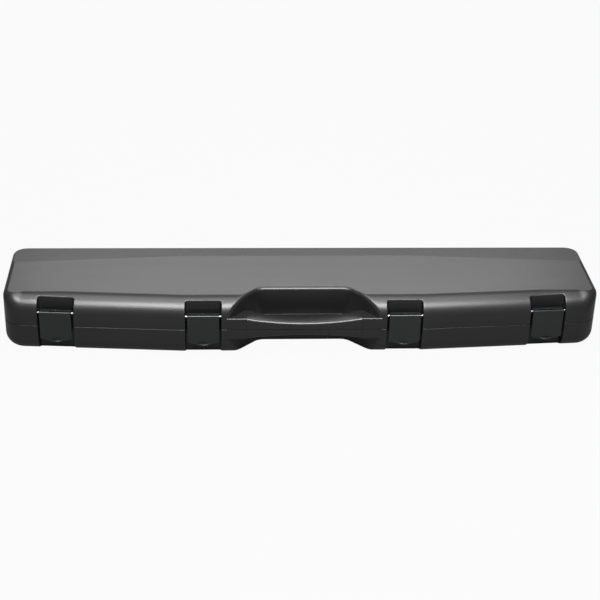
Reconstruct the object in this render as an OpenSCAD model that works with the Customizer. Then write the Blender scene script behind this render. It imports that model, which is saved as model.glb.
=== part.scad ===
// Long hard-shell flute case: two moulded shells that meet at a seam, a hinged
// lid, four snap latches, a moulded carrying handle in a deep front notch and a
// fitted foam lining.
// Millimetres. X runs along the length, the front faces -Y and +Z is up.
// The origin is the middle of the case at the height of its flat underside.
// Every moulded wall is made from one outline, drawn in by a stated distance, so
// shells, rim lip and foam always follow each other.

/* [Whole case] */
// Length over both ends
case_length = 820; // [700:10:1000]
// Depth from the front face to the rear wall
case_depth = 174; // [150:2:220]
// Height of the lower shell, up to the seam
base_height = 41; // [34:1:60]
// Height of the upper shell, seam gap included
lid_height = 41; // [36:1:60]
// Wall thickness of both shells
wall = 3; // [2:0.5:4]
// Open gap between the rims of the closed shells
seam_gap = 0.4; // [0.3:0.1:1]

/* [Outline] */
// Half length of the straight middle of the front
wing_start = 165; // [130:5:200]
// How far the front draws back at each end
wing_setback = 17; // [0:1:30]
// Plan radius of the front corners
front_corner_r = 28; // [12:1:40]
// Plan radius of the rear corners
rear_corner_r = 20; // [12:1:40]
// Radius of the lower edge at the front and ends
lower_edge_r = 20; // [8:1:26]
// Radius of the lower edge at the rear
rear_lower_r = 12; // [8:1:26]
// Radius of the upper edge at the ends and rear
upper_edge_r = 7; // [6:0.5:12]
// Radius of the lid's rounded front
bulge_r = 32.4; // [28:0.1:40]
// How far behind the front face the flat top begins
bulge_depth = 28; // [20:1:31]

/* [Top panel] */
// Height of the raised top panel over the rear strip
panel_step = 0.8; // [0.4:0.1:1.5]
// Width of the rear strip in the middle
strip_mid = 31; // [20:1:50]
// Width of the rear strip at the ends
strip_end = 50; // [20:1:70]

/* [Handle notch] */
// Half width of the notch at the front face
notch_mouth = 105; // [95:1:120]
// Half width of the notch at its rear wall
notch_back = 61; // [55:1:80]
// Depth of the notch behind the front face
notch_depth = 44; // [38:1:60]
// Radius of the notch's two rear corners
notch_corner_r = 18; // [8:1:24]

/* [Handle] */
// Half length of the grip between the end blocks
grip_half = 79; // [70:1:85]
// Height of the handle's underside at its ends
grip_low = 26; // [23:0.5:30]
// Height of the handle's top at its ends
grip_high = 58; // [54:0.5:62]
// How far the grip's top sinks in the middle
waist_top = 7; // [3:0.5:9]
// How far the grip's underside rises in the middle
waist_low = 5; // [3:0.5:8]
// Front-to-back depth of the grip
grip_depth = 21; // [18:0.5:26]
// Depth of the flared ends of the grip
flare_depth = 26; // [22:0.5:30]
// Radius of the grip's long front edges
grip_edge_r = 4.5; // [2:0.5:6]
// Radius of the end blocks' front edges
block_edge_r = 2; // [1:0.5:3]
// How far from the grip's ends the flares begin
flare_start = 8; // [4:1:14]
// How far from the grip's ends the flares are over
flare_end = 29; // [20:1:40]
// Length of the tongue at each end of a grip half
tongue_length = 9; // [6:1:14]
// Front-to-back depth of each tongue
tongue_depth = 9; // [6:1:12]
// Distance of the tongues behind the front face
tongue_set = 4; // [3:0.5:6]
// Height of grip left above and below each tongue
tongue_edge = 5; // [4:0.5:7]
// Distance of the tongues from the seam
tongue_seam = 3; // [2:0.5:5]
// Clearance round each tongue
tongue_gap = 0.1; // [0.05:0.05:0.2]

/* [Latches] */
// Distance of the inner latches from the middle
latch_inner = 138; // [125:1:150]
// Distance of the outer latches from the middle
latch_outer = 338.5; // [300:1:360]
// Width of a latch recess
recess_width = 48.8; // [44:0.2:56]
// Depth of a latch recess
recess_depth = 16; // [14:0.5:18]
// Width of a latch
latch_width = 43.4; // [40:0.2:48]
// Height of a latch's lower edge above the ground
latch_low = 17.5; // [15:0.5:22]
// Thickness of a latch's plate
latch_plate = 3.5; // [3:0.25:4.5]
// Depth of the latch pivot behind the front face
latch_axis_y = 6.5; // [6:0.25:7.5]
// Height of the latch pivot above the ground
latch_axis_z = 58.5; // [56:0.5:60]
// Radius of the barrel round the latch pin
latch_barrel_r = 4.5; // [4:0.25:5]
// Radius of the curved lower edge of a latch
latch_sweep_r = 60; // [40:5:120]
// Radius of the latch's upper front edge
latch_edge_r = 1.5; // [0.5:0.25:2]
// Radius of the thumb lip
thumb_r = 12; // [10:0.5:16]
// How far the thumb lip stands out of the plate
thumb_reach = 4; // [3:0.5:6]
// Thickness of the thumb lip
thumb_thick = 2; // [1.5:0.25:3]
// Height of the thumb lip above the latch's lower edge
thumb_lift = 0.6; // [0:0.2:2]
// Radius of the small nub on top of the barrel
nub_r = 1.4; // [1:0.2:2]
// Width of the hook behind the plate
hook_width = 30; // [20:1:36]
// Depth of the hook's tip behind the front face
hook_tip = 12; // [11:0.5:13]
// Height of the hook's upper face
hook_top = 29.6; // [27:0.2:32]
// Thickness of the hook
hook_thick = 4.2; // [3:0.2:6]
// How far the hook reaches under the catch
hook_bite = 2.5; // [1.5:0.25:4]
// Play between the hook and the catch
hook_play = 0.4; // [0.3:0.1:0.8]
// Width of the two ribs that carry the hook
rib_width = 2.5; // [1.5:0.25:4]
// Front-to-back depth of the ribs
rib_depth = 6; // [4:0.5:8]
// Height of the catch
catch_thick = 5; // [3:0.5:8]
// How far the catch runs past the hook at each side
catch_side = 3; // [1:0.5:6]

/* [Hinge] */
// Distance between hinge stations
hinge_pitch = 165; // [120:5:180]
// Radius of the hinge knuckles
knuckle_r = 4.5; // [4:0.25:6]
// Distance of the hinge axis behind the rear wall
hinge_back = 5; // [4.9:0.1:7]
// Length of one hinge station
hinge_length = 60; // [40:2:80]
// Length of the lid's knuckle
lid_knuckle = 22; // [16:1:30]
// Side play between knuckles
knuckle_gap = 0.4; // [0.3:0.1:0.8]
// Height of the knuckles' webs on the rear wall
web_height = 14; // [10:1:18]

/* [Pins] */
// Radius of every steel pin
pin_r = 1.5; // [1.5:0.25:2.5]
// Radial clearance where a part turns on its pin
turn_fit = 0.05; // [0.02:0.01:0.1]
// How far a latch pin enters each side wall
pin_seat = 2.8; // [2:0.2:3]

/* [Rim lip] */
// Thickness of the lip inside the rim
lip_wall = 1.6; // [1.2:0.2:2.4]
// Clearance between the lip and the lid's wall
lip_gap = 0.5; // [0.3:0.05:0.8]
// Height of the lip above the seam
lip_rise = 4; // [2:0.5:6]
// Height of the lip's root below the seam
lip_root = 5; // [3:0.5:8]

/* [Foam] */
// Clearance between foam and plastic
foam_gap = 0.5; // [0.3:0.1:1]
// Thickness of the pad under the fitted bed
pad_thick = 8; // [5:1:12]
// Clearance between stacked foam layers
layer_gap = 0.3; // [0.2:0.1:0.6]
// Height of the bed's top above the seam
bed_proud = 3; // [0:0.5:4]
// Clearance between the lid foam and the lip
lid_foam_gap = 0.6; // [0.4:0.1:2]
// Length of the flute trough
trough_length = 720; // [600:10:760]
// Width of the flute trough
trough_width = 32; // [26:1:44]
// Distance of the flute trough behind the middle
trough_y = 38; // [20:1:50]
// Height of the trough's lowest line above the ground
trough_floor = 16; // [14:1:24]
// Radius of the finger scallops beside the trough
scallop_r = 24; // [18:1:30]
// Distance of the finger scallops from the middle
scallop_x = 190; // [120:5:260]
// Length of each accessory pocket
pocket_length = 240; // [120:10:260]
// Front-to-back width of each accessory pocket
pocket_width = 42; // [30:1:44]
// Distance of the accessory pockets in front of the middle
pocket_y = 26; // [22:1:28]
// Depth of each accessory pocket
pocket_depth = 24; // [12:1:28]
// Distance of the accessory pockets from the middle
pocket_x = 238; // [200:2:260]
// Plan radius of the accessory pockets' corners
pocket_r = 10; // [4:1:16]

/* [Part] */
// Name of the one piece to build, or all

/* [Hidden] */
$fn = 64;
// Overlap of joined forms
bite = 0.2;
// How far a corner's arc stands out of the walls that it joins, so that they cross
proud = 0.1;
// Short and long run of cutting forms past what they cut
spare = 1;
over = 20;
front = -case_depth / 2;
rear = case_depth / 2;
half = case_length / 2;
case_height = base_height + lid_height;
rim_z = base_height;
lid_rim_z = base_height + seam_gap;
bulge_z = case_height - sqrt(pow(bulge_r, 2) - pow(bulge_r - bulge_depth, 2));
wing_lean = round(1000 * tan(atan(wing_setback / (half - wing_start)) / 2)) / 1000;
wing_angle = 2 * atan(wing_lean);
notch_lean = (notch_mouth - notch_back) / notch_depth;
notch_side = sqrt(1 + pow(notch_lean, 2));
notch_cy = notch_depth - notch_corner_r;
notch_cx = notch_mouth - notch_lean * notch_cy - notch_corner_r * notch_side;
latch_top = latch_axis_z + latch_barrel_r;
pin_bore = pin_r + turn_fit;
hinge_y = rear + hinge_back;
hinge_z = base_height + seam_gap / 2;
lip_in = wall + lip_gap;
lip_back = lip_in + lip_wall;
foam_in = wall + foam_gap;
bed_in = lip_back + foam_gap;
pad_low = wall + foam_gap;
pad_high = pad_low + pad_thick;
bed_low = pad_high + layer_gap;
bed_high = base_height + bed_proud;
lid_foam_low = base_height + lip_rise + lid_foam_gap;
lid_foam_high = case_height - wall - foam_gap;
waist_top_r = (pow(grip_half, 2) + pow(waist_top, 2)) / (2 * waist_top);
tongue_low = [grip_low + tongue_edge, rim_z - tongue_seam];
tongue_high = [lid_rim_z + tongue_seam, grip_high - tongue_edge];
waist_low_r = (pow(grip_half, 2) + pow(waist_low, 2)) / (2 * waist_low);

// Colours of the pieces
plastic = [0.07, 0.07, 0.075];
latch_black = [0.05, 0.055, 0.055];
grip_black = [0.1, 0.1, 0.105];
steel = [0.7, 0.7, 0.72];
dark_foam = [0.2, 0.2, 0.21];
light_foam = [0.3, 0.3, 0.31];

// Flat helpers

// Waste outside a quarter circle round the origin, drawn in by t
module nook(r, t = 0) {
  difference() {
    translate([-r - spare, -r - spare]) square(r + spare);
    circle(r - t);
  }
}

// Front part of the cross-section: x is the depth behind the front face
module front_section(t) {
  difference() {
    translate([t, t]) square([2 * case_depth, case_height - 2 * t]);
    translate([lower_edge_r, lower_edge_r]) nook(lower_edge_r, t);
    difference() {
      translate([-spare, bulge_z]) square([bulge_r + spare, case_height]);
      translate([bulge_r, bulge_z]) circle(bulge_r - t);
    }
  }
}

// Rear part of the cross-section: x is measured from the front face
module rear_section(t) {
  difference() {
    translate([-over, t]) square([case_depth + over - t, case_height - 2 * t]);
    translate([case_depth - rear_lower_r, rear_lower_r])
      mirror([1, 0]) nook(rear_lower_r, t);
    translate([case_depth - upper_edge_r, case_height - upper_edge_r])
      rotate(180) nook(upper_edge_r, t);
  }
}

// Front view of the whole body
module end_section(t) {
  difference() {
    translate([t - half, t]) square([case_length - 2 * t, case_height - 2 * t]);
    for (side = [0, 1]) mirror([side, 0]) {
      translate([lower_edge_r - half, lower_edge_r]) nook(lower_edge_r, t);
      translate([upper_edge_r - half, case_height - upper_edge_r])
        mirror([0, 1]) nook(upper_edge_r, t);
    }
  }
}

// Waste in front of a front corner, seen from above, for the right end
module front_corner_waste(t) {
  u = (half - front_corner_r - wing_start + front_corner_r * sin(wing_angle))
    / cos(wing_angle);
  cy = front + u * sin(wing_angle) + front_corner_r * cos(wing_angle);
  s = front_corner_r + 2;
  translate([half - front_corner_r, cy]) difference() {
    polygon([
      [0, 0],
      [s * sin(wing_angle), -s * cos(wing_angle)],
      [1.2 * s, -1.2 * s],
      [s, 0]
    ]);
    circle(front_corner_r - t + proud);
  }
}

// Plan of the rounded ends
module plan_section(t) {
  difference() {
    translate([t - half, front - spare])
      square([case_length - 2 * t, case_depth + spare - t]);
    for (side = [0, 1]) mirror([side, 0]) {
      front_corner_waste(t);
      translate([half - rear_corner_r, rear - rear_corner_r])
        rotate(180) nook(rear_corner_r, t);
    }
  }
}

// Plan of the handle notch, its walls moved outwards by t
module notch_plan(t) {
  r = notch_corner_r + t;
  mouth = notch_mouth + t * notch_side;
  back = notch_depth + t;
  tx = notch_cx + r / notch_side;
  ty = notch_cy + r * notch_lean / notch_side;
  translate([0, front]) {
    polygon([
      [-mouth - over * notch_lean, -over], [mouth + over * notch_lean, -over],
      [tx, ty], [notch_cx, back], [-notch_cx, back], [-tx, ty]
    ]);
    for (side = [-1, 1]) translate([side * notch_cx, notch_cy]) circle(r + proud);
  }
}

// Solid helpers

// Extrude a section drawn as depth and height along X, from x1 to x2
module along_x(x1, x2) {
  translate([x1, 0, 0]) rotate([90, 0, 90]) linear_extrude(x2 - x1) children();
}

// The slab between two heights
module slab(z1, z2) {
  translate([-half - over, front - over, z1])
    cube([case_length + 2 * over, case_depth + 2 * over, z2 - z1]);
}

// The front of the closed case, drawn in by t: a straight middle and two wings
// that draw back, joined on the planes that halve the angle between them
module front_form(t) {
  near = [wing_start + over * wing_lean, front - over];
  deep = [wing_start - (case_depth + over) * wing_lean, rear + over];
  intersection() {
    translate([0, front, 0]) along_x(-half, half) front_section(t);
    translate([0, 0, -over]) linear_extrude(case_height + 2 * over)
      polygon([[-near[0], near[1]], near, deep, [-deep[0], deep[1]]]);
  }
  for (side = [0, 1]) mirror([side, 0, 0]) intersection() {
    translate([wing_start, front, 0]) rotate([0, 0, wing_angle])
      along_x(-3 * over, half) front_section(t);
    translate([0, 0, -over]) linear_extrude(case_height + 2 * over)
      polygon([near, [half + over, near[1]], [half + over, deep[1]], deep]);
  }
}

// Outside of the closed case, drawn in by t, without notch and recesses
module closed_form(t) {
  intersection() {
    front_form(t);
    translate([0, front, 0]) along_x(-half - over, half + over) rear_section(t);
    translate([0, rear + over, 0]) rotate([90, 0, 0])
      linear_extrude(case_depth + 2 * over) end_section(t);
    linear_extrude(case_height) plan_section(t);
  }
}

// Place children at a latch: x along the face, y into the case
module at_latch(side, outer) {
  if (outer)
    translate([side * wing_start, front, 0]) rotate([0, 0, side * wing_angle])
      translate([side * (latch_outer - wing_start) / cos(wing_angle), 0, 0])
        children();
  else
    translate([side * latch_inner, front, 0]) children();
}

module at_every_latch() {
  for (side = [-1, 1]) {
    at_latch(side, true) children();
    at_latch(side, false) children();
  }
}

// The notch and the four recesses, their walls moved outwards by t
module hollows(t) {
  translate([0, 0, -over]) linear_extrude(case_height + 2 * over) notch_plan(t);
  at_every_latch()
    translate([-recess_width / 2 - t, -over, -over])
      cube([recess_width + 2 * t, over + recess_depth + t, case_height + 2 * over]);
}

// Everything inside the moulded skin, drawn in by t
module inside(t) {
  difference() {
    closed_form(t);
    hollows(t);
  }
}

// Sharp-edged strip behind the raised top panel
module strip_waste() {
  end = half + spare;
  translate([0, 0, case_height - panel_step]) linear_extrude(over) polygon([
    [-end, rear + spare], [-end, rear - strip_end], [-wing_start, rear - strip_mid],
    [wing_start, rear - strip_mid], [end, rear - strip_end], [end, rear + spare]
  ]);
}

// End blocks of the handle, both sides, between two heights
module end_blocks(z1, z2) {
  intersection() {
    linear_extrude(case_height) intersection() {
      notch_plan(wall / 2);
      union() for (side = [0, 1]) mirror([side, 0])
        translate([grip_half, front]) square([notch_mouth, notch_depth]);
    }
    translate([0, front, 0]) along_x(-half, half) difference() {
      translate([0, grip_low]) square([notch_depth, grip_high - grip_low]);
      translate([block_edge_r, grip_low + block_edge_r]) nook(block_edge_r);
      translate([block_edge_r, grip_high - block_edge_r])
        mirror([0, 1]) nook(block_edge_r);
    }
    closed_form(0);
    slab(z1, z2);
  }
}

// Tongues at the ends of a grip half, grown by g; span holds their two heights
module grip_tongues(span, g) {
  for (side = [0, 1]) mirror([side, 0])
    translate([grip_half - tongue_seam, front + tongue_set - g, span[0] - g])
      cube([tongue_seam + tongue_length + g, tongue_depth + 2 * g, span[1] - span[0] + 2 * g]);
}

// One half of the grip, before its tongues: up is 1 for the upper half
module grip_half_bar(up, r, middle) {
  low = up > 0 ? lid_rim_z : grip_low - spare;
  tall = spare + (up > 0 ? grip_high - lid_rim_z : rim_z - grip_low);
  difference() {
    intersection() {
      waist_slab(up, r, middle, flare_depth);
      translate([-grip_half, front - spare, low])
        cube([2 * grip_half, flare_depth + 2 * spare, tall]);
    }
    translate([0, front, 0]) linear_extrude(case_height) finger_waste();
  }
}

// Slab under or over a waisted line, with rounded long edges
module waist_slab(up, r, middle, depth) {
  translate([0, front, middle + up * r]) rotate([-90, 0, 0])
    rotate([0, 0, up > 0 ? 75 : -105]) rotate_extrude(angle = 30, $fn = 360)
      difference() {
        translate([r, 0]) square([base_height, depth]);
        translate([r + grip_edge_r, grip_edge_r]) nook(grip_edge_r);
        translate([r + block_edge_r, depth - block_edge_r]) mirror([0, 1]) nook(block_edge_r);
      }
}

// Plan of the waste behind the grip, between its flared ends
module finger_waste() {
  polygon([
    [grip_half - flare_start, flare_depth + spare], [grip_half - flare_end, grip_depth],
    [flare_end - grip_half, grip_depth], [flare_start - grip_half, flare_depth + spare]
  ]);
}

// Hinge knuckle with its web: up is 1 on the lid and -1 on the base
module knuckle(x1, x2, up, bore) {
  rim = up > 0 ? lid_rim_z : rim_z;
  lean = (knuckle_r - proud) * sin(45);
  along_x(x1, x2) difference() {
    union() {
      translate([hinge_y, hinge_z]) circle(knuckle_r);
      polygon([
        [rear - wall / 2, rim + up * web_height],
        [rear - wall / 2, rim],
        [rear + bite, rim],
        [hinge_y, hinge_z],
        [hinge_y + lean, hinge_z + up * lean],
        [rear, rim + up * web_height]
      ]);
    }
    translate([hinge_y, hinge_z]) circle(bore);
  }
}

// Pieces

module base_shell() {
  color(plastic) {
    difference() {
      union() {
        intersection() {
          difference() {
            inside(0);
            inside(wall);
          }
          slab(0, rim_z);
        }
        rim_lip();
        end_blocks(grip_low, rim_z);
        for (n = [-2:2]) translate([n * hinge_pitch, 0, 0])
          for (side = [0, 1]) mirror([side, 0, 0])
            knuckle(lid_knuckle / 2 + knuckle_gap, hinge_length / 2, -1, pin_r);
        at_every_latch() catch_rib();
      }
      grip_tongues(tongue_low, tongue_gap);
    }
  }
}

// Lip that stands inside the lid's rim, with its root on the base wall
module rim_lip() {
  intersection() {
    difference() {
      union() {
        intersection() {
          inside(wall - bite);
          slab(rim_z - lip_root, rim_z);
        }
        intersection() {
          inside(lip_in);
          slab(rim_z - spare, rim_z + lip_rise);
        }
      }
      inside(lip_back);
    }
    slab(rim_z - lip_root, rim_z + lip_rise);
  }
}

// Catch on the recess floor that a latch hooks under
module catch_rib() {
  reach = recess_depth - hook_tip + hook_bite + wall / 2;
  translate([-hook_width / 2 - catch_side, hook_tip - hook_bite, hook_top + hook_play])
    cube([hook_width + 2 * catch_side, reach, catch_thick]);
}

module lid_shell() {
  color(plastic) {
    difference() {
      union() {
        intersection() {
          difference() {
            inside(0);
            inside(wall);
          }
          slab(lid_rim_z, case_height);
        }
        end_blocks(lid_rim_z, grip_high);
        for (n = [-2:2]) translate([n * hinge_pitch, 0, 0])
          knuckle(-lid_knuckle / 2, lid_knuckle / 2, 1, pin_bore);
      }
      strip_waste();
      grip_tongues(tongue_high, tongue_gap);
      at_every_latch() translate([0, latch_axis_y, latch_axis_z]) rotate([0, 90, 0])
        cylinder(r = pin_r, h = recess_width + 2 * pin_seat, center = true);
    }
  }
}

module base_foam_pad() {
  color(dark_foam) intersection() {
    inside(foam_in);
    slab(pad_low, pad_high);
  }
}

module base_foam_bed() {
  color(dark_foam) difference() {
    intersection() {
      inside(bed_in);
      slab(bed_low, bed_high);
    }
    flute_trough();
    accessory_pockets();
  }
}

// Round-bottomed trough for the flute, with finger scallops beside it
module flute_trough() {
  r = trough_width / 2;
  translate([0, trough_y, 0]) {
    translate([0, 0, trough_floor + r]) rotate([0, 90, 0])
      cylinder(r = r, h = trough_length, center = true);
    translate([-trough_length / 2, -r, trough_floor + r])
      cube([trough_length, trough_width, case_height]);
    for (side = [-1, 1]) translate([side * scallop_x, 0, trough_floor + r])
      cylinder(r = scallop_r, h = case_height);
  }
}

// Two shallow pockets in front of the trough, one each side of the handle
module accessory_pockets() {
  for (side = [-1, 1]) translate([side * pocket_x, -pocket_y, bed_high - pocket_depth])
    linear_extrude(case_height) {
      square([pocket_length - 2 * pocket_r, pocket_width], center = true);
      square([pocket_length, pocket_width - 2 * pocket_r], center = true);
      for (a = [-1, 1], b = [-1, 1])
        translate([a * (pocket_length / 2 - pocket_r), b * (pocket_width / 2 - pocket_r)])
          circle(pocket_r);
    }
}

module lid_foam() {
  color(light_foam) intersection() {
    inside(foam_in);
    slab(lid_foam_low, lid_foam_high);
  }
}

module handle_grip_lower() {
  color(grip_black) {
    grip_half_bar(-1, waist_low_r, grip_low + waist_low);
    grip_tongues(tongue_low, 0);
  }
}

module handle_grip_upper() {
  color(grip_black) {
    grip_half_bar(1, waist_top_r, grip_high - waist_top);
    grip_tongues(tongue_high, 0);
  }
}

// One latch in its own frame: x along the face, y into the case
module latch() {
  color(latch_black) difference() {
    union() {
      intersection() {
        along_x(-latch_width / 2, latch_width / 2) latch_section();
        translate([0, over, 0]) rotate([90, 0, 0]) linear_extrude(2 * over) latch_outline();
      }
      // Thumb lip
      intersection() {
        translate([0, thumb_r - thumb_reach, latch_low + thumb_lift])
          cylinder(r = thumb_r, h = thumb_thick);
        translate([-thumb_r, -thumb_reach, 0])
          cube([2 * thumb_r, thumb_reach + spare, case_height]);
      }
      // Hook and the two ribs that carry it
      translate([-hook_width / 2, spare, hook_top - hook_thick])
        cube([hook_width, hook_tip - spare, hook_thick]);
      for (x = [-hook_width / 2, hook_width / 2 - rib_width])
        translate([x, spare, hook_top - spare])
          cube([rib_width, rib_depth, latch_axis_z - hook_top]);
      // Small nub on top of the barrel
      translate([0, latch_axis_y - nub_r, latch_top - bite]) sphere(nub_r, $fn = 32);
    }
    translate([0, latch_axis_y, latch_axis_z]) rotate([0, 90, 0])
      cylinder(r = pin_bore, h = recess_width, center = true);
  }
}

// Side view of a latch's plate and barrel
module latch_section() {
  difference() {
    union() {
      translate([0, latch_low]) square([latch_plate, latch_top - latch_low]);
      translate([0, latch_axis_z - latch_barrel_r]) square([latch_axis_y, 2 * latch_barrel_r]);
      translate([latch_axis_y, latch_axis_z]) circle(latch_barrel_r);
    }
    translate([latch_edge_r, latch_top - latch_edge_r]) mirror([0, 1]) nook(latch_edge_r);
  }
}

// Front view of a latch
module latch_outline() {
  intersection() {
    translate([-latch_width / 2, latch_low]) square([latch_width, case_height]);
    union() {
      translate([0, latch_low + latch_sweep_r]) circle(latch_sweep_r, $fn = 256);
      translate([-latch_width / 2, latch_low + thumb_r]) square([latch_width, case_height]);
    }
  }
}

module latch_pin() {
  color(steel) translate([0, latch_axis_y, latch_axis_z]) rotate([0, 90, 0])
    cylinder(r = pin_r, h = recess_width + 2 * pin_seat, center = true);
}

module hinge_pin(n) {
  color(steel) translate([n * hinge_pitch, hinge_y, hinge_z]) rotate([0, 90, 0])
    cylinder(r = pin_r, h = hinge_length, center = true);
}

base_shell();
lid_shell();
base_foam_pad();
base_foam_bed();
lid_foam();
handle_grip_lower();
handle_grip_upper();
at_latch(-1, true) latch();  // latch_outer_left
at_latch(-1, false) latch();  // latch_inner_left
at_latch(1, false) latch();  // latch_inner_right
at_latch(1, true) latch();  // latch_outer_right
at_latch(-1, true) latch_pin();  // latch_pin_outer_left
at_latch(-1, false) latch_pin();  // latch_pin_inner_left
at_latch(1, false) latch_pin();  // latch_pin_inner_right
at_latch(1, true) latch_pin();  // latch_pin_outer_right
hinge_pin(-2);  // hinge_pin_far_left
hinge_pin(-1);  // hinge_pin_left
hinge_pin(0);  // hinge_pin_middle
hinge_pin(1);  // hinge_pin_right
hinge_pin(2);  // hinge_pin_far_right
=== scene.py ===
# %% [markdown]
# # A long moulded case with four snap latches
# The CAD model gives this case its true size and its joints, with every edge
# still sharp. This lesson gives it the looks of the real one: rounded moulded
# edges, a soft black skin and studio light. Each new piece is drawn in the CAD's
# own place, so nothing has to be fitted afterwards. Sizes are in millimetres.

# %% Load the frame
from math import asin, atan, cos, hypot, pi, radians, sin, sqrt, tan
import bmesh
import bpy
from mathutils import Matrix, Vector


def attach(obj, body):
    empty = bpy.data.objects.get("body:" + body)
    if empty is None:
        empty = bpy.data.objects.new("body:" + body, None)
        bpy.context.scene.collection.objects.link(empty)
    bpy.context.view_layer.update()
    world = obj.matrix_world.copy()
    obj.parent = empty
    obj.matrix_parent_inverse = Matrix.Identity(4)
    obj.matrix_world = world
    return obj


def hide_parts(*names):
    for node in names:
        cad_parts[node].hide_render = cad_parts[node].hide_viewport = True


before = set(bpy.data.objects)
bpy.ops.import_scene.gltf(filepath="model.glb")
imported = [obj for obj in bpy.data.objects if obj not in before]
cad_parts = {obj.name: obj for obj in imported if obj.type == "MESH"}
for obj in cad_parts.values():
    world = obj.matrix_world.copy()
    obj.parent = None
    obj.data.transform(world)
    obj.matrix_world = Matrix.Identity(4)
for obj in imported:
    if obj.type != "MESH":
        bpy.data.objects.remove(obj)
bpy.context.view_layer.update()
MM = 0.001

# %% [markdown]
# ## Camera
# The photograph looks down at the case by nearly 29 degrees, a little from its left, and
# leans by under two degrees. A long lens from nearly two metres keeps the far
# edge almost as long as the near one. The camera's axes are written as a matrix,
# because that holds the lean without any guessing about angles.

# %% Set the camera
AIM = Vector((-7.3, -87, 87.2)) * MM
PITCH, YAW, LEAN = radians(28.6), radians(3.94), radians(1.67)
ahead = Vector((sin(YAW) * cos(PITCH), cos(YAW) * cos(PITCH), -sin(PITCH)))
level = ahead.cross(Vector((0, 0, 1))).normalized()
upright = level.cross(ahead)
across = level * cos(LEAN) + upright * sin(LEAN)
over = upright * cos(LEAN) - level * sin(LEAN)
camera = bpy.data.objects.new("camera", bpy.data.cameras.new("camera"))
bpy.context.scene.collection.objects.link(camera)
camera.data.lens, camera.data.sensor_width = 85.94, 36
camera.matrix_world = Matrix.Translation(AIM - ahead * 1.9335) @ Matrix(
    (across, over, -ahead)).transposed().to_4x4()
bpy.context.scene.camera = camera
print("camera at", [round(c, 3) for c in camera.location])

# %% [markdown]
# ## Tools for the bench
# Each piece starts as a block or a rod of the right size, which is then cut,
# bevelled and moved as by hand. Edges are chosen by where they lie, so that the
# same step works again after a size has changed.

# %% Pick up a piece and start it from a block
def alone(piece):
    if bpy.context.mode != "OBJECT":
        bpy.ops.object.mode_set(mode="OBJECT")
    bpy.ops.object.select_all(action="DESELECT")
    piece.select_set(True)
    bpy.context.view_layer.objects.active = piece
    return piece


def settled(piece):
    """Moves a piece's place into its mesh."""
    alone(piece)
    bpy.ops.object.transform_apply(location=True, rotation=True, scale=True)
    return piece


def block(name, low, high):
    bpy.ops.object.select_all(action="DESELECT")
    low, high = Vector(low) * MM, Vector(high) * MM
    bpy.ops.mesh.primitive_cube_add(
        size=1, location=(low + high) / 2, scale=high - low)
    bpy.context.object.name = name
    return settled(bpy.context.object)


def rod(name, radius, start, end, sides=48):
    """A round rod between two points."""
    bpy.ops.object.select_all(action="DESELECT")
    start, end = Vector(start) * MM, Vector(end) * MM
    bpy.ops.mesh.primitive_cylinder_add(
        vertices=sides, radius=radius * MM, depth=(end - start).length,
        location=(start + end) / 2,
        rotation=(end - start).to_track_quat("Z", "X").to_euler())
    bpy.context.object.name = name
    return settled(bpy.context.object)


# %% Choose parts of a mesh and cut pieces with each other
def shape(piece):
    alone(piece)
    bpy.ops.object.mode_set(mode="EDIT")
    bpy.ops.mesh.select_all(action="SELECT")


def done():
    bpy.ops.object.mode_set(mode="OBJECT")


def pick(kind, test):
    """Selects the parts whose every corner passes the test."""
    mesh = bmesh.from_edit_mesh(bpy.context.edit_object.data)
    bpy.ops.mesh.select_mode(type=kind)
    bpy.ops.mesh.select_all(action="DESELECT")
    chosen = 0
    for part in {"VERT": mesh.verts, "EDGE": mesh.edges, "FACE": mesh.faces}[kind]:
        corners = [part] if kind == "VERT" else part.verts
        if all(test(v.co / MM) for v in corners):
            part.select_set(True)
            chosen += 1
    mesh.select_flush_mode()
    bmesh.update_edit_mesh(bpy.context.edit_object.data)
    return chosen


def near(a, b, by=0.05):
    return abs(a - b) < by


def round_picked(width, segments):
    bpy.ops.mesh.bevel(offset=width * MM, segments=segments, profile=0.5,
                       affect="EDGES", clamp_overlap=False)


def cut(piece, cutter, how="DIFFERENCE"):
    alone(piece)
    step = piece.modifiers.new("cut", "BOOLEAN")
    step.operation, step.object, step.solver = how, cutter, "EXACT"
    bpy.ops.object.modifier_apply(modifier=step.name)
    bpy.data.objects.remove(cutter)
    return piece


def copied(piece, name):
    twin = piece.copy()
    twin.data = piece.data.copy()
    twin.name = name
    bpy.context.scene.collection.objects.link(twin)
    return twin


def joined(pieces, name):
    alone(pieces[0])
    for piece in pieces:
        piece.select_set(True)
    bpy.ops.object.join()
    bpy.context.object.name = name
    return bpy.context.object


def soften(piece, width_of, segments=4, full=6.0):
    """Bevels each sharp outward edge by its own width."""
    alone(piece)
    mesh = bmesh.new()
    mesh.from_mesh(piece.data)
    mesh.normal_update()
    weight = mesh.edges.layers.float.new("bevel_weight_edge")
    chosen = 0
    for edge in mesh.edges:
        if len(edge.link_faces) == 2 and edge.calc_face_angle_signed() > radians(25):
            edge[weight] = width_of(*(v.co / MM for v in edge.verts)) / full
            chosen += edge[weight] > 0
    mesh.to_mesh(piece.data)
    mesh.free()
    step = piece.modifiers.new("soften", "BEVEL")
    step.limit_method, step.width, step.segments = "WEIGHT", full * MM, segments
    step.use_clamp_overlap, step.harden_normals = False, False
    bpy.ops.object.modifier_apply(modifier=step.name)
    piece.data.attributes.remove(piece.data.attributes["bevel_weight_edge"])
    print(piece.name, "softened", chosen, "edges")
    return piece


def level_shading(piece, angle=32):
    """Smooth curves, crisp edges, and flats that stay flat."""
    alone(piece)
    bpy.ops.object.shade_smooth_by_angle(angle=radians(angle))
    step = piece.modifiers.new("flats", "WEIGHTED_NORMAL")
    step.keep_sharp, step.weight = True, 60
    bpy.ops.object.modifier_apply(modifier=step.name)
    return piece


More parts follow.
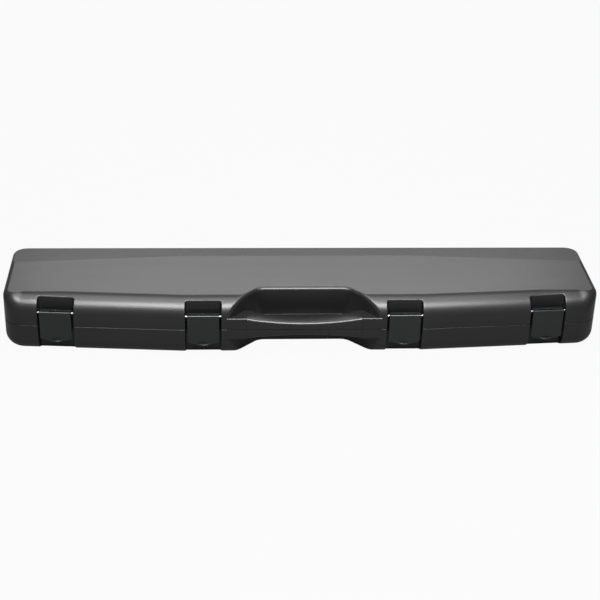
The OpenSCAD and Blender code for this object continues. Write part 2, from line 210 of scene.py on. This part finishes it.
# %% [markdown]
# ## The body of the case
# One closed form comes first, because the two shells and the foam all follow it.
# Its front is one large bulge and its other edges are small, and the radius
# changes on the way round each corner. A bevel folds over itself there, so this
# one form is made another way: its plan is a ring of points, each with its own
# radii, and each point is carried up the wall as a column. Drawn in by a
# distance, the same form makes the inside of the walls and the foam.

# %% Draw the closed body
HALF, FRONT, REAR, TOP, BEND = 410, -87, 87, 82, 165
WING = tan(2 * atan(0.035))
CORNER, REAR_CORNER, WALL = 28, 20, 3
BULGE, CORNER_BULGE, REAR_TOP = 32.4, 27.8, 7
UNDER, UNDER_CORNER, UNDER_REAR = 20, 19.5, 12


def eased(s):
    return s * s * (3 - 2 * s)


def plan_points():
    """Right half of the plan: x, y, outward x and y, upper and lower radius."""
    a = atan(WING)
    middle = HALF - CORNER
    u = (middle - BEND + CORNER * sin(a)) / cos(a)
    cy = FRONT + u * sin(a) + CORNER * cos(a)
    points = [(BEND, FRONT, 0.035, -1, BULGE, UNDER)]
    for back in (60, 45, 30, 12):
        points.append((middle + CORNER * sin(a) - back * cos(a),
                       cy - CORNER * cos(a) - back * sin(a), sin(a), -cos(a),
                       BULGE + (CORNER_BULGE - BULGE) * eased(1 - back / 60), UNDER))
    for n in range(15):
        turn = a + (pi / 2 - a) * n / 14
        points.append((middle + CORNER * sin(turn), cy - CORNER * cos(turn),
                       sin(turn), -cos(turn),
                       CORNER_BULGE + (REAR_TOP - CORNER_BULGE) * eased(n / 14), UNDER))
    for n in range(13):
        turn = pi / 2 * n / 12
        points.append((HALF - REAR_CORNER + REAR_CORNER * cos(turn),
                       REAR - REAR_CORNER + REAR_CORNER * sin(turn),
                       cos(turn), sin(turn), REAR_TOP,
                       UNDER_CORNER + (UNDER_REAR - UNDER_CORNER) * eased(n / 12)))
    return points


def case_form(name, inset=0.0):
    t = inset
    right = plan_points()
    ring = right + [(-x, y, -nx, ny, up, low) for x, y, nx, ny, up, low in reversed(right)]
    columns = []
    for x, y, nx, ny, up, low in ring:
        r, column = low - t, []
        for n in range(11):
            turn = pi / 2 * n / 10
            column.append((t + r - r * sin(turn), t + r - r * cos(turn)))
        r = up - t
        crown = 0.3 * max(0, up - REAR_TOP) / (BULGE - REAR_TOP)
        centre = TOP + crown - up
        last = asin(min(1, (TOP - t - centre) / r))
        for n in range(17):
            turn = last * n / 16
            column.append((t + r - r * cos(turn), centre + r * sin(turn)))
        columns.append([Vector((x - nx * d, y - ny * d, z)) * MM for d, z in column])
    rows, tall = len(ring), len(columns[0])
    corners = [p for column in columns for p in column]
    faces = [(i * tall + k, (i + 1) % rows * tall + k, (i + 1) % rows * tall + k + 1,
              i * tall + k + 1) for i in range(rows) for k in range(tall - 1)]
    faces.append([i * tall for i in reversed(range(rows))])
    faces.append([i * tall + tall - 1 for i in range(rows)])
    mesh = bpy.data.meshes.new(name)
    mesh.from_pydata(corners, [], faces)
    piece = bpy.data.objects.new(name, mesh)
    bpy.context.scene.collection.objects.link(piece)
    return piece


# %% Draw what the body is cut by
NOTCH_MOUTH, NOTCH_BACK, NOTCH_DEPTH, NOTCH_R = 105, 61, 44, 18
LATCHES = (("outer_left", -338.5), ("inner_left", -138),
           ("inner_right", 138), ("outer_right", 338.5))


def latch_frame(x):
    """Where a latch's own frame stands: x along the face, y into the case."""
    if abs(x) < BEND:
        return Matrix.Translation((x * MM, FRONT * MM, 0))
    side = 1 if x > 0 else -1
    angle = side * atan(WING)
    along = side * (abs(x) - BEND) / cos(angle) * MM
    return (Matrix.Translation((side * BEND * MM, FRONT * MM, 0))
            @ Matrix.Rotation(angle, 4, "Z") @ Matrix.Translation((along, 0, 0)))


def at_latch(piece, x):
    piece.matrix_world = latch_frame(x)
    return settled(piece)


def notch_cutter(t=0.0):
    piece = block("notch", (-200, FRONT - 20, -20), (200, FRONT + NOTCH_DEPTH + t, 120))
    half_back = NOTCH_BACK + t * tan(radians(22.5))
    half_mouth = NOTCH_MOUTH + 20 + t * sqrt(2)
    shape(piece)
    for front, half in ((True, half_mouth), (False, half_back)):
        pick("VERT", lambda p: (p.y < FRONT) == front)
        bpy.ops.transform.resize(value=(half / 200, 1, 1), center_override=(0, 0, 0))
    pick("EDGE", lambda p: near(p.y, FRONT + NOTCH_DEPTH + t) and p.x > 0)
    round_picked((NOTCH_R + t) * tan(radians(22.5)), 10)
    pick("EDGE", lambda p: near(p.y, FRONT + NOTCH_DEPTH + t) and near(p.x, -half_back))
    round_picked((NOTCH_R + t) * tan(radians(22.5)), 10)
    done()
    return piece


def recess_cutter(x, t=0.0):
    piece = block("recess", (-24.4 - t, -20, -20), (24.4 + t, 16 + t, 120))
    shape(piece)
    for side in (-1, 1):
        pick("EDGE", lambda p: near(p.y, 16 + t) and near(p.x, side * (24.4 + t)))
        round_picked(3 + t, 4)
    done()
    return at_latch(piece, x)


def carved(piece, t=0.0):
    cut(piece, notch_cutter(t))
    for name, x in LATCHES:
        cut(piece, recess_cutter(x, t))
    return piece


def sliced(piece, low, high):
    """Keeps what lies between two heights."""
    return cut(piece, block("slab", (-500, -200, low), (500, 200, high)), "INTERSECT")


outside = carved(case_form("outside"))
inside = carved(case_form("inside", WALL), WALL)
print("closed body", len(outside.data.polygons), "faces")

# %% [markdown]
# ## The two shells
# The real shells are injection moulded in black plastic. They meet at a seam at
# half height, and every edge is a little round, since a mould has no sharp one.
# The rim of the handle notch is the softest. So each half is cut from the closed
# body, its outward edges are bevelled by their own widths, and then it is hollowed.

# %% Cut the halves and round their edges
SEAM_LOW, SEAM_HIGH = 41.0, 41.4
ARC_X = NOTCH_BACK - NOTCH_R * tan(radians(22.5))
ARC_Y = FRONT + NOTCH_DEPTH - NOTCH_R


def from_notch(p):
    """Distance from the notch's outline, seen from above."""
    x, y = abs(p.x) - ARC_X, p.y - ARC_Y
    if y > x > 0:
        return hypot(x, y) - NOTCH_R
    return y - NOTCH_R if x <= 0 else (abs(p.x) + p.y - FRONT - NOTCH_MOUTH) / sqrt(2)


def on_skin(p):
    return (outside.closest_point_on_mesh(p * MM)[1] / MM - p).length < 0.1


def edge_width(a, b):
    middle = (a + b) / 2
    if not (on_skin(middle) and on_skin(a) and on_skin(b)):
        return 0
    for seam in (SEAM_LOW, SEAM_HIGH):
        if near(a.z, seam) and near(b.z, seam):
            return 0.6
    if near(from_notch(a), 0, 0.3) and near(from_notch(b), 0, 0.3):
        return 1.3 + 3.7 * max(0, (middle.z - 50) / 32)
    return 0.35 if middle.y > 20 else 0.6 + 0.8 * min(1, middle.z / UNDER)


STRIP_AT_BEND, STRIP_AT_END, STRIP_STEP, STRIP_FALL, SPARE = 56, 37, 0.8, 1.4, 20
strip = block("strip", (-HALF - SPARE, 0, TOP - STRIP_STEP),
              (HALF + SPARE, REAR + SPARE, TOP + SPARE))
shape(strip)
for x in (-BEND, BEND):
    bpy.ops.mesh.select_all(action="SELECT")
    bpy.ops.mesh.bisect(plane_co=(x * MM, 0, 0), plane_no=(1, 0, 0))
beyond = STRIP_AT_END - (STRIP_AT_BEND - STRIP_AT_END) * SPARE / (HALF - BEND)
for x, y in ((BEND, STRIP_AT_BEND), (HALF + SPARE, beyond)):
    pick("VERT", lambda p: near(abs(p.x), x) and near(p.y, 0))
    bpy.ops.transform.translate(value=(0, y * MM, 0))
    pick("VERT", lambda p: near(abs(p.x), x) and p.y > REAR and p.z < TOP)
    fall = STRIP_FALL * (REAR + SPARE - y) / (REAR - y)
    bpy.ops.transform.translate(value=(0, 0, -fall * MM))
done()
lid = cut(sliced(copied(outside, "lid_skin"), SEAM_HIGH, 200), strip)
base = sliced(copied(outside, "base_skin"), -100, SEAM_LOW)
for half in (lid, base):
    soften(cut(half, copied(inside, "hollow")), edge_width)
    print(half.name, len(half.data.polygons), "faces")

# %% [markdown]
# ## Handle blocks
# A triangular block closes each end of the notch and carries the grip between
# them. It stands in the corner of notch and front, flush with the front face,
# and parts at the seam with its shell. A small pocket in it takes the grip's
# tongue. One block is drawn for each half and mirrored to the other side.

# %% Add the end blocks
def end_block(name, low, high, pocket):
    piece = block(name, (79, FRONT + 0.05, low), (107, -59, high))
    shape(piece)
    bpy.ops.mesh.bisect(plane_co=(107 * MM, FRONT * MM, 0), plane_no=(1, 1, 0),
                        use_fill=True, clear_outer=True)
    outer = low if low < SEAM_LOW - 3 else high
    pick("EDGE", lambda p: near(p.y, FRONT + 0.05, 0.1) and near(p.z, outer))
    round_picked(2, 4)
    done()
    soften(piece, lambda a, b: 0.4 if a.x < 79.1 and b.x < 79.1 or abs(a.z - outer) > 3
           and abs(b.z - outer) > 3 else 0.5 if a.x < 100 or b.x < 100 else 0, 2, 0.5)
    return cut(piece, block("pocket", (70, -83.1, pocket[0]), (88.1, -73.9, pocket[1])))


def mirrored(piece):
    """The same piece for the other side."""
    twin = copied(piece, piece.name + "_left")
    twin.scale = (-1, 1, 1)
    settled(twin)
    shape(twin)
    bpy.ops.mesh.normals_make_consistent(inside=False)
    done()
    return twin


high_block = end_block("high_block", SEAM_HIGH, 58, (44.3, 53.1))
low_block = end_block("low_block", 26, SEAM_LOW, (30.9, 38.1))
lid_parts = [lid, high_block, mirrored(high_block)]
base_parts = [base, low_block, mirrored(low_block)]

# %% [markdown]
# ## Rim lip and catches
# A thin lip stands inside the lower rim, so that the lid finds its place and dust
# stays out. Under each latch a bar crosses the floor of its recess, and the
# latch's hook snaps under it. The lip follows the body, so it is made from two
# more drawn-in bodies. The bar is one bevelled block, copied four times.

# %% Add the lip and the catches
lip = sliced(carved(case_form("lip", 3.5), 3.5), 36, 45)
cut(lip, carved(case_form("lip_inside", 5.1), 5.1))
soften(lip, lambda a, b: 0.4 if near(a.z, 45) and near(b.z, 45) else 0, 2, 0.5)
base_parts.append(lip)
catch = block("catch", (-18, 9.5, 30), (18, 18, 35))
soften(catch, lambda a, b: 0.6 if min(a.y, b.y) < 10 else 0, 2, 0.6)
base_parts += [at_latch(copied(catch, "catch_" + name), x) for name, x in LATCHES]
bpy.data.objects.remove(catch)

# %% [markdown]
# ## Hinge knuckles
# Behind the case five hinges carry the lid. Each has one barrel on the lid and
# two on the base, which ride on a common steel pin. A barrel grows out of the
# wall with a slanting web below or above it, so that the mould can open. A web
# is a block with one corner moved out to the barrel, and the pin's bore goes
# through both.

# %% Add the knuckles
HINGE_Y, HINGE_Z = 92, 41.2


def knuckle(name, start, end, up, bore):
    rim = SEAM_HIGH if up > 0 else SEAM_LOW
    far = rim + up * 14
    web = block(name, (start, REAR - 1.5, min(rim, far)), (end, HINGE_Y + 3.18, max(rim, far)))
    shape(web)
    pick("VERT", lambda p: near(p.z, far) and p.y > REAR)
    bpy.ops.transform.translate(value=(0, (REAR + 0.1 - HINGE_Y - 3.18) * MM, 0))
    pick("VERT", lambda p: near(p.z, rim) and p.y > REAR)
    bpy.ops.transform.translate(value=(0, 0, (HINGE_Z + up * 3.18 - rim) * MM))
    done()
    cut(web, rod("barrel", 4.5, (start, HINGE_Y, HINGE_Z), (end, HINGE_Y, HINGE_Z)), "UNION")
    cut(web, rod("bore", bore, (start - 1, HINGE_Y, HINGE_Z), (end + 1, HINGE_Y, HINGE_Z), 32))
    return soften(web, lambda a, b: 0.4 if near(a.x, b.x) and
                  hypot(a.y - HINGE_Y, a.z - HINGE_Z) > 3 else 0, 2, 0.5)


lid_knuckle = knuckle("lid_knuckle", -11, 11, 1, 1.55)
base_knuckle = knuckle("base_knuckle", 11.4, 30, -1, 1.5)
other_knuckle = mirrored(base_knuckle)
for n in range(-2, 3):
    for first, parts in ((lid_knuckle, lid_parts), (base_knuckle, base_parts),
                         (other_knuckle, base_parts)):
        one = copied(first, first.name + str(n))
        one.location.x = n * 165 * MM
        parts.append(settled(one))
for first in (lid_knuckle, base_knuckle, other_knuckle, outside, inside):
    bpy.data.objects.remove(first)

# %% Join each shell
lid_shell = level_shading(joined(lid_parts, "lid_moulding"))
base_shell = level_shading(joined(base_parts, "base_moulding"))
print("shells", len(lid_shell.data.polygons), len(base_shell.data.polygons), "faces")

# %% [markdown]
# ## The grip
# The hand holds two half grips, one on each shell. The grip is waisted: its top
# sinks and its underside rises towards the middle, its long front edges are well
# rounded, and it gets deeper where it meets the blocks. A block is cut into
# slices along its length, and each slice is moved to the waist's curve.

# %% Shape the two halves of the grip
GRIP_HALF, GRIP_WAIST, GRIP_DEEP, GRIP_SLICES = 79, 71, 26, 28


def grip(name, up, low, high, drop, tongue):
    piece = block(name, (-GRIP_HALF, FRONT, low), (GRIP_HALF, FRONT + GRIP_DEEP, high))
    outer, seam = (high, low) if up > 0 else (low, high)
    shape(piece)
    for n in range(GRIP_SLICES + 1):
        x = GRIP_WAIST * (2 * n / GRIP_SLICES - 1)
        bpy.ops.mesh.select_all(action="SELECT")
        bpy.ops.mesh.bisect(plane_co=(x * MM, 0, 0), plane_no=(1, 0, 0))
    radius = (GRIP_HALF ** 2 + drop ** 2) / (2 * drop)
    columns = sorted({round(v.co.x / MM, 2) for v in
                      bmesh.from_edit_mesh(piece.data).verts})
    for x in columns:
        pick("VERT", lambda p: near(p.x, x) and near(p.z, outer))
        sink = drop - (radius - sqrt(radius ** 2 - x ** 2))
        bpy.ops.transform.translate(value=(0, 0, -up * sink * MM))
        pick("VERT", lambda p: near(p.x, x) and near(p.y, FRONT + GRIP_DEEP))
        pull = 5 * min(1, max(0, (GRIP_WAIST - abs(x)) / 21))
        bpy.ops.transform.translate(value=(0, -pull * MM, 0))
    pick("EDGE", lambda p: near(p.y, FRONT) and not near(p.z, seam))
    round_picked(4.5, 6)
    pick("EDGE", lambda p: p.y > FRONT + 20.9 and not near(p.z, seam))
    round_picked(2, 3)
    done()
    soften(piece, lambda a, b: 0.5 if near(a.z, seam) and near(b.z, seam) or
           near(abs(a.x), GRIP_HALF) and near(abs(b.x), GRIP_HALF) else 0, 2, 0.5)
    tongues = []
    for side in (-1, 1):
        ends = sorted((side * 76, side * 88))
        tongues.append(block("tongue", (ends[0], -83, tongue[0]), (ends[1], -74, tongue[1])))
    return level_shading(joined([piece] + tongues, name))


upper_grip = grip("upper_grip", 1, SEAM_HIGH, 58, 7, (44.4, 53))
lower_grip = grip("lower_grip", -1, 26, SEAM_LOW, 5, (31, 38))
print("grips", len(upper_grip.data.polygons), len(lower_grip.data.polygons), "faces")

# %% [markdown]
# ## The latches
# A latch is a flat plate that hangs on a pin near its top and ends below in a
# shallow curve with a small lens-shaped lip for the thumb. Behind it a hook
# snaps under the catch. One latch is modelled in its own frame and then copied
# to its four places.

# %% Model one latch
LATCH_HALF, LATCH_LOW, LATCH_TOP, LATCH_SLICES = 21.7, 17.5, 63, 16
PIN_Y, PIN_Z, PIN_BORE, BARREL = 6.5, 58.5, 1.55, 4.5


def latch_plate():
    piece = block("plate", (-LATCH_HALF, 0, LATCH_LOW), (LATCH_HALF, 3.5, LATCH_TOP))
    shape(piece)
    step = 2 * LATCH_HALF / LATCH_SLICES
    for n in range(1, LATCH_SLICES):
        bpy.ops.mesh.select_all(action="SELECT")
        bpy.ops.mesh.bisect(plane_co=((n * step - LATCH_HALF) * MM, 0, 0), plane_no=(1, 0, 0))
    for n in range(LATCH_SLICES + 1):
        x = n * step - LATCH_HALF
        pick("VERT", lambda p: near(p.x, x) and near(p.z, LATCH_LOW))
        bpy.ops.transform.translate(value=(0, 0, (60 - sqrt(3600 - x * x)) * MM))
    done()
    cut(piece, block("ledge", (-LATCH_HALF, 1, 54), (LATCH_HALF, PIN_Y, LATCH_TOP)), "UNION")
    cut(piece, rod("barrel", BARREL, (-LATCH_HALF, PIN_Y, PIN_Z),
                   (LATCH_HALF, PIN_Y, PIN_Z)), "UNION")
    cut(piece, rod("bore", PIN_BORE, (-30, PIN_Y, PIN_Z), (30, PIN_Y, PIN_Z), 32))

    def width(a, b):
        if hypot(a.y - PIN_Y, a.z - PIN_Z) < 2:
            return 0
        if a.y < 0.01 and b.y < 0.01:
            return 3.0 if near(a.z, LATCH_TOP) and near(b.z, LATCH_TOP) else 0.9
        side = near(a.x, b.x) and near(abs(a.x), LATCH_HALF)
        return 1.5 if side and max(a.z, b.z) < LATCH_LOW + 4.5 else 0.4
    return soften(piece, width, 4, 3.0)


def thumb_lip():
    piece = rod("lip", 12, (0, 8, 18.1), (0, 8, 20.1), 96)
    cut(piece, block("keep", (-12, -5, 10), (12, 1, 30)), "INTERSECT")
    return soften(piece, lambda a, b: 0.6 if near(a.z, b.z) and a.y < 0.9 and b.y < 0.9
                  else 0, 3, 0.6)


def latch_hook():
    hook = block("hook", (-15, 1, 25.4), (15, 12, 29.6))
    soften(hook, lambda a, b: 1.0 if a.y > 11 and b.y > 11 else 0, 3, 1)
    parts = [hook]
    for x in (-15, 12.5):
        parts.append(block("rib", (x, 1, 28.6), (x + 2.5, 7, 57.5)))
    bpy.ops.object.select_all(action="DESELECT")
    bpy.ops.mesh.primitive_uv_sphere_add(
        segments=24, ring_count=12, radius=1.4 * MM,
        location=(0, 5.1 * MM, 62.8 * MM))
    return parts + [settled(bpy.context.object)]


latch = level_shading(joined([latch_plate(), thumb_lip()] + latch_hook(), "latch"))
latches = [at_latch(copied(latch, name + "_snap_latch"), x) for name, x in LATCHES]
bpy.data.objects.remove(latch)
print("one latch has", len(latches[0].data.polygons), "faces")

# %% [markdown]
# ## The foam
# Nothing of the lining shows while the case is shut. It is drawn all the same,
# because the lid opens. The lower part is a plain pad with a fitted bed on it,
# which has one long trough and two pockets. The lid has the egg-crate foam that
# such cases are lined with, pressed out as rows of soft hills.

# %% Make the pad and the fitted bed
def foam_layer(name, inset, low, high):
    return sliced(carved(case_form(name, inset), inset), low, high)


pad = foam_layer("under_pad", 3.5, 3.5, 11.5)
soften(pad, lambda a, b: 1.2 if near(a.z, b.z) else 0, 3, 1.2)
BED_TOP, TROUGH_Y, POCKET_Y, POCKET_X = 44, (22, 54), (-47, -5), 238
bed = foam_layer("fitted_bed", 5.6, 11.8, BED_TOP)
shape(bed)
for y in (sum(POCKET_Y) / 2, sum(TROUGH_Y) / 2):
    bpy.ops.mesh.select_all(action="SELECT")
    bpy.ops.mesh.bisect(plane_co=(0, y * MM, 0), plane_no=(0, 1, 0))
done()
trough = block("trough", (-360, TROUGH_Y[0], 16), (360, TROUGH_Y[1], 60))
shape(trough)
for y in TROUGH_Y:
    pick("EDGE", lambda p: near(p.z, 16) and near(p.y, y))
    round_picked(15.9, 10)
done()
cut(bed, trough)
for x in (-190, 190):
    cut(bed, rod("scallop", 24, (x, 38, 32), (x, 38, 60)))
for x in (-POCKET_X, POCKET_X):
    pocket = block("pocket", (x - 120, POCKET_Y[0], 20), (x + 120, POCKET_Y[1], 60))
    shape(pocket)
    for dx in (-120, 120):
        for y in POCKET_Y:
            pick("EDGE", lambda p: near(p.x, x + dx) and near(p.y, y))
            round_picked(10, 6)
    done()
    cut(bed, pocket)
for x in (-107, 107):
    cut(bed, block("thin_tip", (x - 5, -90, 0), (x + 5, -77, 60)))
soften(bed, lambda a, b: 1.6 if near(a.z, BED_TOP, 0.1)
       and near(b.z, BED_TOP, 0.1) else 0, 4, 1.6)
print("bed", len(bed.data.polygons), "faces")


# %% Make the egg-crate foam of the lid
def egg_crate():
    bpy.ops.object.select_all(action="DESELECT")
    bpy.ops.mesh.primitive_grid_add(x_subdivisions=60, y_subdivisions=14, size=1,
                                    location=(0, 0, 34 * MM))
    bpy.context.object.scale = (840 * MM, 196 * MM, 1)
    hills = settled(bpy.context.object)
    shape(hills)
    pick("VERT", lambda p: (round((p.x + 420) / 14) + round((p.y + 98) / 14)) % 2 == 0)
    bpy.ops.transform.translate(value=(0, 0, 30 * MM))
    done()
    step = hills.modifiers.new("round", "SUBSURF")
    step.levels = step.render_levels = 2
    alone(hills)
    bpy.ops.object.modifier_apply(modifier=step.name)
    shape(hills)
    bpy.ops.mesh.extrude_region_move(TRANSFORM_OT_translate={"value": (0, 0, -0.03)})
    bpy.ops.transform.resize(value=(1, 1, 0), center_override=(0, 0, 0.03))
    bpy.ops.mesh.select_all(action="SELECT")
    bpy.ops.mesh.normals_make_consistent(inside=False)
    done()
    print("hills from", round(min(v.co.z for v in hills.data.vertices if v.co.z > 0.031) / MM, 1),
          "to", round(max(v.co.z for v in hills.data.vertices) / MM, 1))
    return hills


lid_lining = foam_layer("lid_lining", 3.5, 45.6, 78.5)
cut(lid_lining, egg_crate())
print("lid lining", len(lid_lining.data.polygons), "faces")
for foam in (pad, bed, lid_lining):
    level_shading(foam, 40)

# %% [markdown]
# ## Finishes
# A finish is a short formula, so shader maths is written as Python. A small class
# wraps a socket, and adding or multiplying two of them adds the Math node. Any
# other node comes from one method. The patterns read the piece's own coordinates
# in metres, so a grain has its true size.

# %% Wrap the shader nodes
class Wire:
    def __init__(self, finish, socket):
        self.finish, self.socket = finish, socket

    def maths(self, kind, a, b):
        return self.finish.node("Math", {"operation": kind}, {0: a, 1: b})

    def __add__(self, other):
        return self.maths("ADD", self, other)

    def __radd__(self, other):
        return self.maths("ADD", other, self)

    def __sub__(self, other):
        return self.maths("SUBTRACT", self, other)

    def __rsub__(self, other):
        return self.maths("SUBTRACT", other, self)

    def __mul__(self, other):
        return self.maths("MULTIPLY", self, other)

    def __rmul__(self, other):
        return self.maths("MULTIPLY", other, self)


class Finish:
    def __init__(self, name, **sockets):
        self.material = bpy.data.materials.new(name)
        self.material.use_nodes = True
        self.tree = self.material.node_tree
        self.shader = self.tree.nodes["Principled BSDF"]
        self.place = self.node("TexCoord", out="Object")
        for socket, value in sockets.items():
            self.put(self.shader.inputs[socket.replace("_", " ")], value)

    def put(self, socket, value):
        if isinstance(value, Wire):
            self.tree.links.new(value.socket, socket)
        else:
            socket.default_value = value

    def node(self, kind, settings={}, inputs={}, out=0):
        made = self.tree.nodes.new("ShaderNode" + kind)
        for setting, value in settings.items():
            if setting == "stops":
                while len(made.color_ramp.elements) < len(value):
                    made.color_ramp.elements.new(1)
                for stop, (at, colour) in zip(made.color_ramp.elements, value):
                    stop.position, stop.color = at, colour
            else:
                setattr(made, setting, value)
        for socket, value in inputs.items():
            self.put(made.inputs[socket], value)
        return Wire(self, made.outputs[out])

    def noise(self, per_metre, detail=2.0, stretch=(1, 1, 1)):
        at = self.node("Mapping", {}, {"Vector": self.place, "Scale": stretch})
        return self.node("TexNoise", {}, {"Vector": at, "Scale": per_metre, "Detail": detail})

    def blend(self, factor, dark, light):
        return self.node("Mix", {"data_type": "RGBA"}, {0: factor, 6: dark, 7: light}, 2)

    def bump(self, height, strength, distance):
        return self.node("Bump", {}, {"Height": height, "Strength": strength,
                                      "Distance": distance})

    def set(self, **sockets):
        for socket, value in sockets.items():
            self.put(self.shader.inputs[socket.replace("_", " ")], value)


def grey(r, g=None, b=None):
    return (r, r if g is None else g, r if b is None else b, 1)


# %% [markdown]
# ### Moulded plastic
# The shells have the fine spark-eroded grain of a steel mould, which spreads the
# light softly. On top of it lie cloudy patches where the melt flowed and a few
# faint rubbed streaks along the length. The latches are smoother and a touch
# lighter, and the grip lies between the two.

# %% Mix the black plastics
def moulded(name, dark, light, rough, grain, depth, specular):
    finish = Finish(name)
    clouds = finish.noise(9, 3)
    streaks = finish.noise(60, 4, (0.12, 1, 1))
    fine = finish.noise(grain, 2)
    finish.set(
        Base_Color=finish.blend(0.6 * clouds + 0.4 * fine, dark, light),
        Roughness=rough - 0.03 + 0.05 * clouds + 0.05 * streaks,
        Specular_IOR_Level=specular,
        Normal=finish.bump(fine, depth, 0.0002))
    return finish.material


shell_plastic = moulded("shell_plastic", grey(0.006, 0.006, 0.0065),
                        grey(0.014, 0.014, 0.015), 0.30, 1500, 0.12, 0.5)
latch_plastic = moulded("latch_plastic", grey(0.007, 0.0085, 0.0085),
                        grey(0.014, 0.0165, 0.0165), 0.28, 1900, 0.08, 0.5)
grip_plastic = moulded("grip_plastic", grey(0.007, 0.0068, 0.007),
                       grey(0.015, 0.0143, 0.0143), 0.25, 1300, 0.14, 0.5)

# %% [markdown]
# ### Foam and steel
# Cut foam is a mass of tiny open cells. Noise at two sizes gives their relief,
# and the colour is darker in their mouths as painted shade, lighter on the rims
# as painted highlight. The pins are drawn wire, with fine lines along their length.

# %% Mix the foam and the steel
def cellular(name, dark, light):
    finish = Finish(name)
    pore_shade_and_relief = finish.node("TexVoronoi", {}, {"Vector": finish.place, "Scale": 900.0})
    lumps = finish.noise(140, 3)
    # The cell pattern darkens the pore mouths as painted shade and lightens the rims as painted
    # highlight; it also drives the bump.
    finish.set(
        Base_Color=finish.blend(0.7 * pore_shade_and_relief + 0.5 * lumps, dark, light),
        Roughness=0.9 + 0.08 * lumps,
        Specular_IOR_Level=0.2,
        Sheen_Weight=0.15,
        Normal=finish.bump(pore_shade_and_relief + lumps, 0.5, 0.0006))
    return finish.material


base_foam = cellular("base_foam", grey(0.016, 0.016, 0.018), grey(0.05, 0.05, 0.054))
lid_foam = cellular("lid_foam", grey(0.02, 0.02, 0.022), grey(0.062, 0.062, 0.066))
steel = Finish("pin_steel", Metallic=1.0)
lines = steel.noise(300, 4, (0.05, 8, 8))
steel.set(Base_Color=steel.blend(lines, grey(0.36, 0.36, 0.37), grey(0.52, 0.52, 0.54)),
          Roughness=0.32 + 0.12 * lines,
          Normal=steel.bump(lines, 0.15, 0.0001))

# %% Dress the pieces and hang them on their bodies
def dress(piece, material, body, slot, *nodes):
    piece.data.materials.clear()
    piece.data.materials.append(material)
    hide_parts(*nodes)
    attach(piece, body)


dress(lid_shell, shell_plastic, "lid", "shell_plastic", "lid_shell")
dress(base_shell, shell_plastic, "base", "shell_plastic", "base_shell")
dress(upper_grip, grip_plastic, "lid", "grip_plastic", "handle_grip_upper")
dress(lower_grip, grip_plastic, "base", "grip_plastic", "handle_grip_lower")
for (name, x), piece in zip(LATCHES, latches):
    dress(piece, latch_plastic, name + "_latch", "latch_plastic", "latch_" + name)
dress(pad, base_foam, "base", "base_foam", "base_foam_pad")
dress(bed, base_foam, "base", "base_foam", "base_foam_bed")
dress(lid_lining, lid_foam, "lid", "lid_foam", "lid_foam")
for name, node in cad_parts.items():
    if "_pin_" in name:
        for place_of in node.material_slots:
            place_of.material = steel.material

# %% [markdown]
# ## Studio
# The case lies on a plain floor that the camera sees as white, while the floor's
# own grey keeps the shadow. A long soft box hangs over the front edge and draws
# the bright line along the rounded front. A wide one far behind shines in the
# top panel, and a weak one overhead fills the dark band between the two.

# %% Build the floor and hang the lights
def sweep():
    floor = block("floor", (-30000, -30000, -12), (30000, 30000, -1.5))
    shape(floor)
    pick("EDGE", lambda p: near(p.z, -1.5))
    round_picked(4, 3)
    done()
    finish = Finish("white_floor", Roughness=0.7, Specular_IOR_Level=0.2)
    dust = finish.noise(3, 3)
    finish.set(Base_Color=finish.blend(dust, grey(0.09), grey(0.12)))
    rays = finish.tree.nodes.new("ShaderNodeLightPath")
    seen = (0.95 * Wire(finish, rays.outputs["Is Camera Ray"])
            + 0.1 * Wire(finish, rays.outputs["Is Glossy Ray"])
            + 0.1 * Wire(finish, rays.outputs["Is Transmission Ray"]))
    glow = finish.node("Emission", {}, {"Color": grey(1), "Strength": 1.0})
    mixed = finish.node("MixShader", {}, {
        0: seen, 1: Wire(finish, finish.shader.outputs[0]), 2: glow})
    output = finish.tree.nodes["Material Output"]
    finish.put(output.inputs[0], mixed)
    floor.data.materials.append(finish.material)
    return floor


def soft_box(name, at, towards, wide, tall, radiance):
    lamp = bpy.data.lights.new(name, "AREA")
    lamp.shape, lamp.size, lamp.size_y = "RECTANGLE", wide, tall
    lamp.energy = radiance * pi * wide * tall
    box = bpy.data.objects.new(name, lamp)
    bpy.context.scene.collection.objects.link(box)
    box.location = at
    box.rotation_euler = (Vector(towards) - Vector(at)).to_track_quat("-Z", "Y").to_euler()
    return box


floor = sweep()
soft_box("front_box", (-0.02, -0.78, 1.42), (0, -0.09, 0.05), 1.3, 0.5, 24)
soft_box("top_box", (0, -0.05, 1.8), (0, -0.05, 0.05), 1.6, 1.0, 4.5)
soft_box("rear_box", (0.1, 2.0, 1.5), (0, 0, 0.08), 1.8, 0.9, 3.5)
world = bpy.data.worlds.new("studio")
bpy.context.scene.world = world
world.use_nodes = True
world.node_tree.nodes["Background"].inputs["Color"].default_value = (1, 1, 1, 1)
world.node_tree.nodes["Background"].inputs["Strength"].default_value = 0.2
bpy.context.scene.view_settings.view_transform = "Standard"
